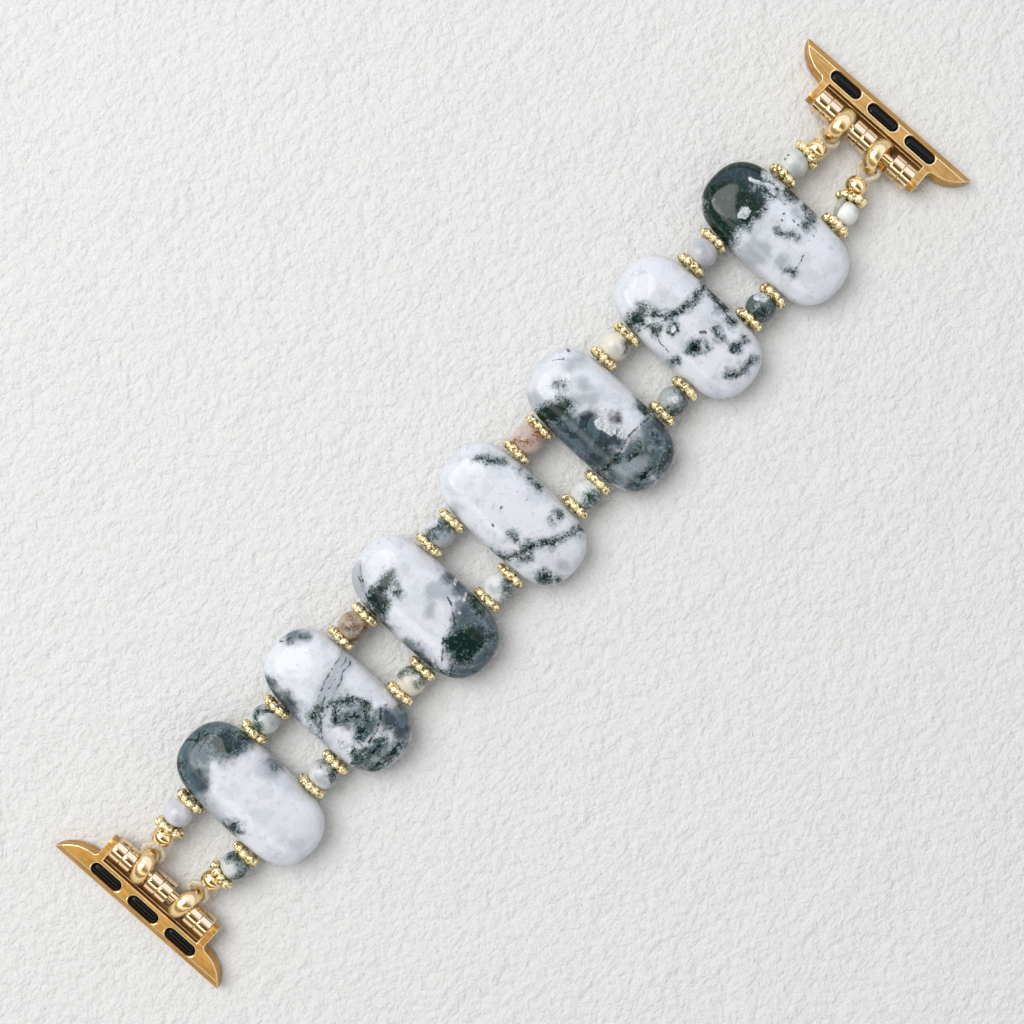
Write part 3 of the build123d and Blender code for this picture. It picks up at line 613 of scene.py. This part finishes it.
def granulated(name):
    """Antique gold, granulated, with dark oxide in its pits, painted shade between its balls and inside its ring,
    and painted highlights on its grains.
    """
    metal = bpy.context.scene.band_metal
    paint = Paint(name)
    grains = paint.cells(2150)
    grain = paint.noise(2100, 4, 0.7)
    # Painted shade: darker between the balls and inside the ring
    crevice_shade = paint.field("crevice_shade")
    smears = grain.step(0.56, 0.68, 0, 0.5) * crevice_shade.step(0.0, 0.9, 0.3, 1.3)
    pits = grains.step(0.57, 0.7, 0, 0.95) + smears
    # Dark oxide in the pits, and painted shade between the balls and inside the ring
    oxide_and_shade = (pits + crevice_shade.step(0.7, 1.0, 0, 0.45)).step(0.35, 1.15)
    # Painted highlight: near-white gold at the middle of each grain
    glint_mask = grains.step(0.12, 0.4, 0.95, 0)
    shown = paint.layers(metal.antique, (oxide_and_shade, metal.oxide_and_shade_tone), (glint_mask, metal.bright))
    paint.relief(grain * 0.4 - grains, 1.0, 0.16)
    return paint.surface(Base_Color=shown, Metallic=0.82 - oxide_and_shade * 0.2, Roughness=oxide_and_shade.step(0, 1, 0.13, 0.5))


def polished(name, tone, rough):
    """Polished gold with faint wear."""
    paint = Paint(name)
    wear = paint.noise(900, 5, 0.7)
    hair = paint.noise(1.0, 4, 0.6, paint.stretched(400, 3200, 3200))
    shown = paint.layers(tone, (wear.step(0.5, 0.75, 0, 0.25), scaled(tone, 0.72)))
    paint.relief(hair, 0.08, 0.01)
    return paint.surface(Base_Color=shown, Metallic=1.0, Roughness=wear.step(0.3, 0.8, rough, rough + 0.1))


def satin(name, tone):
    """Satin gold, brushed along the connector, smoother along its edges, with a painted highlight on its rounded
    edges.
    """
    paint = Paint(name)
    streaks = paint.noise(1.0, 5, 0.65, paint.stretched(2300, 170, 2300))
    grain = paint.noise(1.0, 3, 0.6, paint.stretched(6200, 900, 6200))
    blotch = paint.noise(330, 4, 0.6)
    # The rounded edge faces, which get a painted highlight
    edge = paint.field("edge")
    brushed = (streaks * 0.7 + grain * 0.3 + (blotch - 0.5) * 0.35).step(0.36, 0.66)
    edge_highlight = bpy.context.scene.band_metal.edge
    shown = paint.layers(scaled(tone, 0.74), (brushed, scaled(tone, 1.2)), (edge * 0.85, edge_highlight))
    paint.relief(grain * (1 - edge), 0.25, 0.012)
    rough = brushed.step(0, 1, 0.42, 0.28) - edge * 0.14
    return paint.surface(Base_Color=shown, Metallic=0.86, Roughness=rough)


def rubber(name, tone):
    """Rubber with a fine moulded grain."""
    paint = Paint(name)
    grain = paint.noise(4200, 3, 0.6)
    shown = paint.layers(tone, (grain.step(0.4, 0.7), scaled(tone, 2.2)))
    paint.relief(grain, 0.3, 0.02)
    return paint.surface(Base_Color=shown, Roughness=grain.step(0.3, 0.8, 0.1, 0.2), IOR=1.3)


def clear_cord(name, tone):
    """Clear elastic cord with faint streaks."""
    paint = Paint(name)
    streak = paint.noise(1500, 3, 0.6)
    shown = paint.layers(tone, (streak.step(0.45, 0.7), scaled(tone, 0.8)))
    paint.relief(streak, 0.1, 0.02)
    return paint.surface(Base_Color=shown, Roughness=streak.step(0.3, 0.8, 0.05, 0.14), IOR=1.49,
                         Transmission_Weight=0.5)


def plaster(name, tone):
    """Pale plaster with fine grain and soft hollows."""
    paint = Paint(name)
    hollows = paint.noise(85, 4, 0.55)
    lumps = paint.noise(600, 5, 0.62)
    tooth = paint.noise(1500, 3, 0.6)
    paint.relief(hollows * 1.6 + lumps * 1.5 + tooth * 0.3, 0.7, 1.0)
    shown = paint.layers(tone, (lumps.step(0.4, 0.66, 0, 0.6), scaled(tone, 0.95)))
    return paint.surface(Base_Color=shown, Roughness=0.85, Specular_IOR_Level=0.2)


def islands(node):
    """The points of each separate solid of a CAD node, in order along Y then X."""
    shape = bmesh.new()
    shape.from_mesh(frame["nodes"][node].data)
    bmesh.ops.remove_doubles(shape, verts=shape.verts, dist=weld)
    shape.verts.index_update()
    waiting = set(shape.verts)
    found = []
    while waiting:
        edge = [waiting.pop()]
        group = list(edge)
        while edge:
            near = {e.other_vert(v) for v in edge for e in v.link_edges} & waiting
            waiting -= near
            edge = list(near)
            group += edge
        found.append(np.array([v.co for v in sorted(group, key=lambda v: v.index)]))
    shape.free()
    return sorted(found, key=lambda points: (round(middle(points).y, 4), round(middle(points).x, 4)))


def middle(points):
    """The middle of the box round some points."""
    return Vector((points.min(0) + points.max(0)) / 2)


def thin_way(points):
    """The direction in which some points are thinnest."""
    ways = np.linalg.svd(points - points.mean(0), full_matrices=False)[2]
    return Vector(ways[2])


def node_middle(node):
    """The middle of a CAD node's box."""
    low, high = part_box(node)
    return (low + high) / 2


def joint_axis(name):
    """The direction of a joint."""
    return Vector(next(j["axis"] for j in frame["joints"] if j["name"] == name)).normalized()


def laid(centre, along, across=None):
    """The place of a shape made along Z: its middle, its direction and where its X side looks."""
    z = Vector(along).normalized()
    x = Vector(across) if across else Vector((0, 0, 1)).cross(z)
    x = (x - z * x.dot(z)).normalized()
    return Matrix.Translation(centre) @ Matrix((x, z.cross(x), z)).transposed().to_4x4()


def moved_to(point, way, reach):
    """The point moved along a direction until it lies that far along it."""
    return point + way * (reach - point.dot(way))


def rim_height(radius, bore):
    """Where the rim of a ball's bore lies on its outline, in degrees from the level."""
    return degrees(acos(bore / radius))


def arc(radius, start, end, count, centre=(0.0, 0.0)):
    """Points (radius, height) on an arc, from one angle to another, in degrees from the level."""
    turns = [radians(start + (end - start) * n / count) for n in range(count + 1)]
    return [(centre[0] + radius * cos(t), centre[1] + radius * sin(t)) for t in turns]


def turned(outline, steps, softness, corners, closed=True):
    """A shape turned about Z from points (radius, height), with the numbered corners rounded."""
    shape = bmesh.new()
    points = [shape.verts.new((r, 0, z)) for r, z in outline]
    chain = points + points[:1] if closed else points
    for pair in zip(chain, chain[1:]):
        shape.edges.new(pair)
    bmesh.ops.bevel(shape, geom=[points[n] for n in corners], offset=softness, offset_type="OFFSET",
                    segments=4, profile=0.5, affect="VERTICES", material=-1)
    bmesh.ops.spin(shape, geom=shape.verts[:] + shape.edges[:], cent=(0, 0, 0), axis=(0, 0, 1),
                   dvec=(0, 0, 0), angle=tau, steps=steps, use_merge=True, use_duplicate=False)
    bmesh.ops.remove_doubles(shape, verts=shape.verts, dist=seam_weld)
    bmesh.ops.recalc_face_normals(shape, faces=shape.faces)
    return shape


def copies(shape, places):
    """One mesh with a copy of a shape at each place."""
    part = bpy.data.meshes.new("part")
    shape.to_mesh(part)
    whole = bmesh.new()
    for place in places:
        first = len(whole.verts)
        whole.from_mesh(part)
        whole.verts.ensure_lookup_table()
        bmesh.ops.transform(whole, matrix=place, verts=whole.verts[first:])
    bpy.data.meshes.remove(part)
    return whole


def linked(name, data):
    """A new object in the scene for a mesh, curve, light or camera."""
    made = bpy.data.objects.new(name, data)
    bpy.context.scene.collection.objects.link(made)
    return made


def placed(name, shape):
    """A new object of a shape; the shape goes."""
    mesh = bpy.data.meshes.new(name)
    shape.to_mesh(mesh)
    shape.free()
    return linked(name, mesh)


def body_of(node):
    """The body that a CAD node rides on."""
    bodies = frame["record"]["behaviour"]["bodies"]
    return next(name for name, nodes in bodies.items() if node in nodes)


def dress(name, shape, places, material, node):
    """Makes a finished piece of copies of a shape, riding on the body of the CAD node that it replaces."""
    piece = placed(name, copies(shape, places))
    piece.data.shade_smooth()
    piece.data.materials.append(material)
    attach(piece, body_of(node))
    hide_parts(node)
    return piece


def coat(node, material):
    """Gives a CAD node that stays its material."""
    slots = frame["nodes"][node].data.materials
    slots.clear()
    slots.append(material)


def write_field(mesh, name, values):
    """Stores one number for each point of a mesh."""
    mesh.attributes.new(name, "FLOAT", "POINT").data.foreach_set("value", np.asarray(values, np.float32))


def run_distance(points, line):
    """The distance of flat points to a line of runs, or to a dot."""
    line = np.array(line, float)
    if len(line) == 1:
        return np.linalg.norm(points - line[0], axis=1)
    best = np.full(len(points), np.inf)
    for start, end in zip(line, line[1:]):
        way = end - start
        along = np.clip((points - start) @ way / (way @ way), 0, 1)
        best = np.minimum(best, np.linalg.norm(points - start - along[:, None] * way, axis=1))
    return best


def write_pattern(piece, centre, marks, seed):
    """Stores how far each point lies from each kind of mark of its stone, in millimetres."""
    points = np.array([v.co for v in piece.data.vertices]) / MM - np.array(centre) / MM
    noise.seed_set(wave_seed)
    start = Vector([seed * step for step in wave_steps])
    waves = np.array([noise.noise_vector(Vector(p) * wave_pitch + start) for p in points])[:, :2]
    for kind in kinds:
        swayed = points[:, :2] + waves * (ink_sway if kind == "ink" else border_sway)
        field = np.full(len(points), far_away)
        for half_width, *line in marks.get(kind, ()):
            field = np.minimum(field, run_distance(swayed, line) - half_width)
        write_field(piece.data, kind, field)


def bar_height(x, y, stone):
    """Half the thickness of a bar over a point of its plan, and below zero outside it."""
    half_width, half_length = stone.bar_width / 2, stone.bar_length / 2
    side = half_width - stone.side_bulge * (y / (half_length - stone.end_bulge)) ** 2
    end = half_length - stone.end_bulge * (x / (half_width - stone.side_bulge)) ** 2
    sideways = np.abs(x) / side
    endways = np.maximum(np.abs(y) - end + half_width, 0) / half_width
    reach = (sideways**stone.squareness + endways**stone.squareness) ** (1 / stone.squareness)
    height = stone.bar_thickness / 2 - stone.crown * (y / half_length) ** 2
    fall = np.clip(1 - reach**stone.fullness, 0, 1) ** (1 / stone.fullness)
    return np.where(reach < 1, height * fall, -1)


def bar_shape(stone):
    """One pillow-shaped bar about its middle, with its two bores."""
    shape = bmesh.new()
    bmesh.ops.create_cube(shape, size=2)
    bmesh.ops.subdivide_edges(shape, edges=shape.edges, cuts=stone.grid_cuts, use_grid_fill=True)
    ways = np.array([v.co.normalized() for v in shape.verts])
    ways *= np.array((stone.bar_width, stone.bar_length, stone.bar_thickness)) / 2
    # Along each way from the middle, halves the stretch in which the surface lies
    low, high = np.zeros(len(ways)), np.full(len(ways), 2.0)
    for _ in range(halvings):
        mid = (low + high) / 2
        points = ways * mid[:, None]
        inside = np.abs(points[:, 2]) < bar_height(points[:, 0], points[:, 1], stone)
        low, high = np.where(inside, mid, low), np.where(inside, high, mid)
    for vert, way, reach in zip(shape.verts, ways, low):
        vert.co = way * reach
    bmesh.ops.recalc_face_normals(shape, faces=shape.faces)
    drill = bmesh.new()
    for side in (1, -1):
        place = laid((0, side * stone.strand_side, 0), (1, 0, 0))
        bmesh.ops.create_cone(drill, cap_ends=True, segments=24, radius1=stone.bore_radius,
                              radius2=stone.bore_radius, depth=stone.bar_width * drill_reach,
                              matrix=place)
    return cut_away(shape, drill)


def settled(work):
    """The shape of a working object with its modifiers applied; the object goes."""
    depsgraph = bpy.context.evaluated_depsgraph_get()
    mesh = bpy.data.meshes.new_from_object(work.evaluated_get(depsgraph))
    shape = bmesh.new()
    shape.from_mesh(mesh)
    bpy.data.meshes.remove(mesh)
    bpy.data.objects.remove(work)
    return shape


def cut_away(shape, drill):
    """Cuts the drill's solids out of a shape."""
    work, tool = placed("work", shape), placed("drill", drill)
    cut = work.modifiers.new("cut", "BOOLEAN")
    cut.operation, cut.solver, cut.object = "DIFFERENCE", "EXACT", tool
    result = settled(work)
    bpy.data.objects.remove(tool)
    return result


def spacer_shape(metal):
    """One granulated spacer about Z, its balls grown together as cast."""
    shape = bmesh.new()
    for number in range(metal.granule_count):
        turn = tau * number / metal.granule_count
        place = Matrix.Translation((metal.granule_ring * cos(turn), metal.granule_ring * sin(turn), 0))
        bmesh.ops.create_icosphere(shape, subdivisions=3, radius=metal.granule_radius, matrix=place)
    work = placed("casting", shape)
    cast = work.modifiers.new("cast", "REMESH")
    cast.mode, cast.voxel_size, cast.adaptivity = "VOXEL", metal.voxel, 0
    shape = settled(work)
    for vert in shape.verts:
        lump = noise.fractal(vert.co / lump_width, *lump_noise) - pit_level
        vert.co += vert.normal * min(0.0, lump) * metal.granule_grain
    return shape


def crevices(points, metal):
    """How deep each point of a spacer lies between two balls or inside the ring, 0 to 1; the spacers' gold is
    painted darker there as shade.
    """
    turns = [tau * n / metal.granule_count for n in range(metal.granule_count)]
    balls = np.array([(cos(t), sin(t), 0) for t in turns]) * metal.granule_ring
    reach = np.sort(np.linalg.norm(points[:, None] - balls, axis=2), axis=1)
    between = np.clip(1 - (reach[:, 1] - reach[:, 0]) / crevice_width, 0, 1)
    from_axis = np.hypot(points[:, 0], points[:, 1])
    inside = np.clip((metal.granule_ring - from_axis) / metal.granule_radius, 0, 1)
    return np.maximum(between, inside)


def bead_shape(radius, bore, rim):
    """One round bead about Z with its drilled hole."""
    mouth = rim_height(radius, bore)
    return turned(arc(radius, -mouth, mouth, bead_runs), ball_steps, rim, (0, bead_runs))


class BAND_OT_bars(bpy.types.Operator):
    """Stone bars with their own agate patterns"""
    bl_idname = "band.bars"
    bl_label = "Stone bars"

    def execute(self, context):
        stone = context.scene.band_stone
        single = bar_shape(stone)
        material = agate("bar agate", stone.ground, stone.cloud, stone.moss, stone.moss_pale)
        for number in bar_numbers:
            node = f"stone_bar_{number}"
            centre = node_middle(node)
            place = Matrix.Translation(centre)
            piece = dress(f"agate_bar_{number}", single, [place], material, node)
            write_pattern(piece, centre, bar_marks[number], number)
        single.free()
        return {"FINISHED"}


class BAND_OT_beads(bpy.types.Operator):
    """Round stone beads of the gaps and of the end strands"""
    bl_idname = "band.beads"
    bl_label = "Round beads"

    def execute(self, context):
        stone = context.scene.band_stone
        beads = {f"{n}{s}": (f"round_bead_{n}{s}", (1, 0, 0)) for n in gap_numbers for s in strands}
        for end in ends:
            for strand in strands:
                node = f"{end}_end_bead_{strand}"
                beads[f"{end}_{strand}"] = (node, joint_axis(f"{node}_spin"))
        for seed, (key, (node, along)) in enumerate(beads.items(), bead_seed):
            low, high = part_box(node)
            centre = node_middle(node)
            single = bead_shape((high.z - low.z) / 2, stone.bore_radius, stone.bead_rim)
            ground, dark = (srgb(code) for code in bead_colours[key])
            material = agate(f"bead agate {key}", ground, scaled(ground, cloud_shade), dark,
                             scaled(dark, moss_shade))
            piece = dress(f"agate_bead_{key}", single, [laid(centre, along)], material, node)
            write_pattern(piece, centre, bead_marks[key], seed)
            single.free()
        return {"FINISHED"}


class BAND_OT_spacers(bpy.types.Operator):
    """Granulated spacers beside the bars and in the end strands"""
    bl_idname = "band.spacers"
    bl_label = "Granulated spacers"

    def execute(self, context):
        metal = context.scene.band_metal
        places = {}
        for number in bar_numbers:
            node = f"granule_spacers_{number}"
            turn = Matrix.Rotation(metal.granule_turn * (number - 1), 4, "Z")
            centres = [middle(points) for points in islands(node)]
            places[f"spacers_of_bar_{number}", node] = [
                laid(centre, (1, 0, 0), (0, -1 if centre.y > 0 else 1, 0)) @ turn for centre in centres]
        for end in ends:
            node = f"{end}_tilted_spacers"
            places[f"{end}_leaning_spacers", node] = [
                laid(middle(points), thin_way(points)) for points in islands(node)]
        single = spacer_shape(metal)
        # Painted shade between the balls and inside the ring, stored on each spacer
        depth = crevices(np.array([v.co for v in single.verts]), metal)
        material = granulated("granulated gold")
        for (name, node), spots in places.items():
            piece = dress(name, single, spots, material, node)
            write_field(piece.data, "crevice_shade", np.tile(depth, len(spots)))
        single.free()
        return {"FINISHED"}


class BAND_OT_gold_beads(bpy.types.Operator):
    """Smooth gold beads of the end strands"""
    bl_idname = "band.gold_beads"
    bl_label = "Gold beads"

    def execute(self, context):
        metal = context.scene.band_metal
        material = polished("polished gold bead", metal.polished, rough=0.12)
        radius, bore, mouth = metal.gold_radius, metal.gold_bore, metal.gold_mouth
        outline = arc(radius, -rim_height(radius, bore), rim_height(radius, mouth), gold_runs)
        outline.append((bore, sqrt(radius**2 - mouth**2) - metal.gold_flare))
        corners = (0, gold_runs, gold_runs + 1)
        single = turned(outline, ball_steps, metal.rim_softness / 2, corners)
        for end in ends:
            node = f"{end}_gold_beads"
            rings = [node_middle(f"{end}_ring_{strand}") for strand in strands]
            places = []
            for points in islands(node):
                about = middle(points)
                ring = min(rings, key=lambda centre: (centre - about).length)
                along = (ring - about).normalized()
                reach = (points @ np.array(along)).min() + sqrt(radius**2 - bore**2)
                places.append(laid(moved_to(about, along, reach), along))
            dress(f"{end}_gold_bead_pair", single, places, material, node)
        single.free()
        return {"FINISHED"}


class BAND_OT_rings(bpy.types.Operator):
    """Crowned connector rings"""
    bl_idname = "band.rings"
    bl_label = "Rings"

    def execute(self, context):
        metal = context.scene.band_metal
        half = metal.ring_width / 2
        rise = metal.ring_crown - metal.ring_rim
        round_radius = (half**2 + rise**2) / (2 * rise)
        swing = degrees(asin(half / round_radius))
        outline = arc(round_radius, -swing, swing, crown_runs, (metal.ring_crown - round_radius, 0))
        outline += [(metal.ring_bore, half), (metal.ring_bore, -half)]
        corners = (0, crown_runs, crown_runs + 1, crown_runs + 2)
        single = turned(outline, ring_steps, metal.rim_softness, corners)
        material = polished("polished gold ring", metal.polished, rough=0.22)
        for end in ends:
            for strand in strands:
                node = f"{end}_ring_{strand}"
                points = islands(node)[0]
                place = laid(middle(points), thin_way(points))
                dress(f"{end}_crowned_ring_{strand}", single, [place], material, node)
        single.free()
        return {"FINISHED"}


class BAND_OT_sleeves(bpy.types.Operator):
    """Mirror sleeves and the pins inside them"""
    bl_idname = "band.sleeves"
    bl_label = "Sleeves and pins"

    def execute(self, context):
        metal = context.scene.band_metal
        half, inner = metal.sleeve_length / 2, metal.pin_radius * sleeve_play
        outline = [(metal.sleeve_radius, -half), (metal.sleeve_radius, half), (inner, half), (inner, -half)]
        sleeve = turned(outline, sleeve_steps, metal.rim_softness, (0, 1, 2, 3))
        rose = polished("mirror rose gold", metal.rose, rough=0.05)
        gold = polished("polished gold pin", metal.polished, rough=0.09)
        for end in ends:
            along = joint_axis(f"{end}_connector_swing")
            for number in sleeve_numbers:
                node = f"{end}_sleeves_{number}"
                places = [laid(middle(points), along) for points in islands(node)]
                dress(f"{end}_sleeve_pair_{number}", sleeve, places, rose, node)
            node = f"{end}_pin"
            points = islands(node)[0]
            reach = np.ptp(points @ np.array(along)) / 2
            rod = [(0, -reach), (metal.pin_radius, -reach), (metal.pin_radius, reach), (0, reach)]
            pin = turned(rod, pin_steps, metal.rim_softness, (1, 2), closed=False)
            place = laid(middle(points), along)
            dress(f"{end}_cross_pin", pin, [place], gold, node)
            pin.free()
        sleeve.free()
        return {"FINISHED"}


class BAND_OT_connectors(bpy.types.Operator):
    """Slot connectors with softened edges, and their pads"""
    bl_idname = "band.connectors"
    bl_label = "Connectors and pads"

    def execute(self, context):
        metal = context.scene.band_metal
        gold = satin("satin gold", metal.satin)
        black = rubber("black rubber", context.scene.band_trim.rubber)
        for end in ends:
            node = f"{end}_connector"
            shape = bmesh.new()
            shape.from_mesh(frame["nodes"][node].data)
            bmesh.ops.remove_doubles(shape, verts=shape.verts, dist=weld)
            bmesh.ops.dissolve_limit(shape, angle_limit=flat_turn, verts=shape.verts, edges=shape.edges)
            sharp = [e for e in shape.edges if len(e.link_faces) == 2 and e.calc_face_angle() > sharp_turn]
            cut = bmesh.ops.bevel(shape, geom=sharp, offset=metal.edge_softness, offset_type="OFFSET",
                                  segments=3, profile=0.5, affect="EDGES", clamp_overlap=False,
                                  material=-1)
            # Rounded edge faces, marked for the satin gold's painted highlight
            rims = set(cut["faces"])
            edge = [float(face in rims) for face in shape.faces]
            piece = dress(f"{end}_slot_connector", shape, [Matrix()], gold, node)
            shape.free()
            piece.data.attributes.new("edge", "FLOAT", "FACE").data.foreach_set("value", edge)
            keep = piece.modifiers.new("flat faces", "WEIGHTED_NORMAL")
            keep.mode, keep.keep_sharp = "FACE_AREA", True
            self.pads(end, metal, black)
        return {"FINISHED"}

    def pads(self, end, metal, material):
        """Three rounded pads along the connector, each a stretched ball on its pocket's floor."""
        node = f"{end}_pads"
        pads = islands(node)
        along = middle(pads[-1]) - middle(pads[0])
        upward = thin_way(pads[0])
        upward *= 1 if upward.z > 0 else -1
        half = metal.pad_width / 2
        single = bmesh.new()
        round_size = Matrix.Diagonal((metal.pad_width, metal.pad_width, 2 * metal.pad_height, 1))
        turned_over = Matrix.Rotation(pi / 2, 4, "X")
        bmesh.ops.create_uvsphere(single, u_segments=40, v_segments=23, radius=0.5,
                                  matrix=round_size @ turned_over)
        everything = single.verts[:] + single.edges[:] + single.faces[:]
        flat = bmesh.ops.bisect_plane(single, geom=everything, plane_co=(0, 0, 0), plane_no=(0, 0, -1),
                                      clear_outer=True)
        rim = [e for e in flat["geom_cut"] if isinstance(e, bmesh.types.BMEdge)]
        bmesh.ops.contextual_create(single, geom=rim)
        for vert in single.verts:
            vert.co.x = copysign((abs(vert.co.x) / half) ** pad_squareness * half, vert.co.x)
            vert.co.y += copysign(metal.pad_length / 2 - half, vert.co.y)
        across = along.cross(upward)
        places = []
        for points in pads:
            floor = (points @ np.array(upward)).min()
            places.append(laid(moved_to(middle(points), upward, floor), upward, across))
        dress(f"{end}_rubber_pads", single, places, material, node)
        single.free()


class BAND_OT_cords(bpy.types.Operator):
    """Clear cord through the bars, beads and rings"""
    bl_idname = "band.cords"
    bl_label = "Cords"

    def execute(self, context):
        trim = context.scene.band_trim
        clear = clear_cord("clear cord", trim.cord)
        nodes = [f"gap_cord_{n}" for n in gap_numbers]
        nodes += [f"{end}_{part}_cords" for end in ends for part in ("strand", "bar")]
        for node in nodes:
            coat(node, clear)
        self.second_leg(trim, clear_cord("tinted cord", trim.tinted))
        return {"FINISHED"}

    def second_leg(self, trim, material):
        """The cord's other leg, over the side of the small white bead."""
        bead = node_middle("upper_end_bead_b")
        line = bpy.data.curves.new("second cord leg", "CURVE")
        line.dimensions, line.bevel_depth, line.bevel_resolution = "3D", trim.cord_radius, 6
        run = line.splines.new("NURBS")
        run.points.add(len(second_leg_points) - 1)
        for point, step in zip(run.points, second_leg_points):
            point.co = (*(bead + Vector(step) * MM), 1)
        run.order_u, run.use_endpoint_u = 3, True
        line.use_fill_caps = True
        line.materials.append(material)
        leg = linked("second_cord_leg", line)
        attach(leg, "upper_strands")


class BAND_OT_stage(bpy.types.Operator):
    """Camera, window light, room and plaster table"""
    bl_idname = "band.stage"
    bl_label = "Stage"

    def execute(self, context):
        stage, scene = context.scene.band_stage, context.scene
        scene.view_settings.view_transform = "Standard"
        camera = linked("camera", bpy.data.cameras.new("camera"))
        camera.data.lens, camera.data.clip_start = stage.lens, stage.near_limit
        camera.location = (*stage.sight, stage.camera_height)
        camera.rotation_euler = (0, 0, stage.camera_turn)
        scene.camera = camera
        window = bpy.data.lights.new("window", "AREA")
        window.shape, window.size, window.energy = "DISK", stage.window_size, stage.window_power
        lamp = linked("window", window)
        lamp.location = stage.window_place
        lamp.rotation_euler = Vector(stage.window_place).to_track_quat("Z", "Y").to_euler()
        shape = bmesh.new()
        bmesh.ops.create_grid(shape, x_segments=4, y_segments=4, size=stage.table_reach)
        table = placed("table", shape)
        table.data.materials.append(plaster("plaster", stage.table))
        self.room(scene, stage)
        return {"FINISHED"}

    def room(self, scene, stage):
        """An even pale room, with dark and light walls where metal mirrors it."""
        scene.world = bpy.data.worlds.new("room")
        scene.world.use_nodes = True
        scene.world.node_tree.nodes.clear()
        paint = Nodes(scene.world.node_tree)
        way = paint.node("ShaderNodeTexCoord")
        apart = [paint.node("ShaderNodeSeparateXYZ", {}, {0: way}, side) for side in (0, 2)]
        turn = apart[0].maths("ARCTAN2", *apart)
        span = paint.node("ShaderNodeMapRange", {}, {0: turn, 1: -pi / 2, 2: pi / 2, 3: 0.0, 4: 1.0})
        stops = []
        for place, level, warmth in wall_levels:
            green, blue = (level * (share - loss * warmth) for share, loss in (wall_green, wall_blue))
            stops.append((place, (level, green, blue, 1)))
        walls = paint.node("ShaderNodeValToRGB", {"stops": stops}, {0: span})
        mirrored = paint.node("ShaderNodeLightPath", output=3)
        shown = paint.layers((stage.room,) * 3, (mirrored, walls))
        light = paint.node("ShaderNodeBackground", {}, {0: shown})
        paint.node("ShaderNodeOutputWorld", {}, {0: light}, None)


class BAND_PT_panel(bpy.types.Panel):
    """The pieces of the band in the sidebar"""
    bl_idname = "BAND_PT_panel"
    bl_label = "Watch Band"
    bl_space_type = "VIEW_3D"
    bl_region_type = "UI"
    bl_category = "Watch Band"

    def draw(self, context):
        for operator in operators:
            self.layout.operator(operator.bl_idname)


groups = {"band_stone": StoneSettings, "band_metal": MetalSettings, "band_trim": TrimSettings,
          "band_stage": StageSettings}
operators = (BAND_OT_stage, BAND_OT_bars, BAND_OT_beads, BAND_OT_spacers, BAND_OT_gold_beads, BAND_OT_rings,
             BAND_OT_sleeves, BAND_OT_connectors, BAND_OT_cords)
classes = (*groups.values(), *operators, BAND_PT_panel)


def register():
    """Makes the settings, operators and panel known."""
    for kind in classes:
        bpy.utils.register_class(kind)
    for name, group in groups.items():
        setattr(bpy.types.Scene, name, PointerProperty(type=group))


def unregister():
    """Takes them away again."""
    for name in groups:
        delattr(bpy.types.Scene, name)
    for kind in reversed(classes):
        bpy.utils.unregister_class(kind)


def main():
    """Registers the add-on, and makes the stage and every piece."""
    register()
    bpy.ops.band.stage()
    bpy.ops.band.bars()
    bpy.ops.band.beads()
    bpy.ops.band.spacers()
    bpy.ops.band.gold_beads()
    bpy.ops.band.rings()
    bpy.ops.band.sleeves()
    bpy.ops.band.connectors()
    bpy.ops.band.cords()


if __name__ == "__main__":
    main()
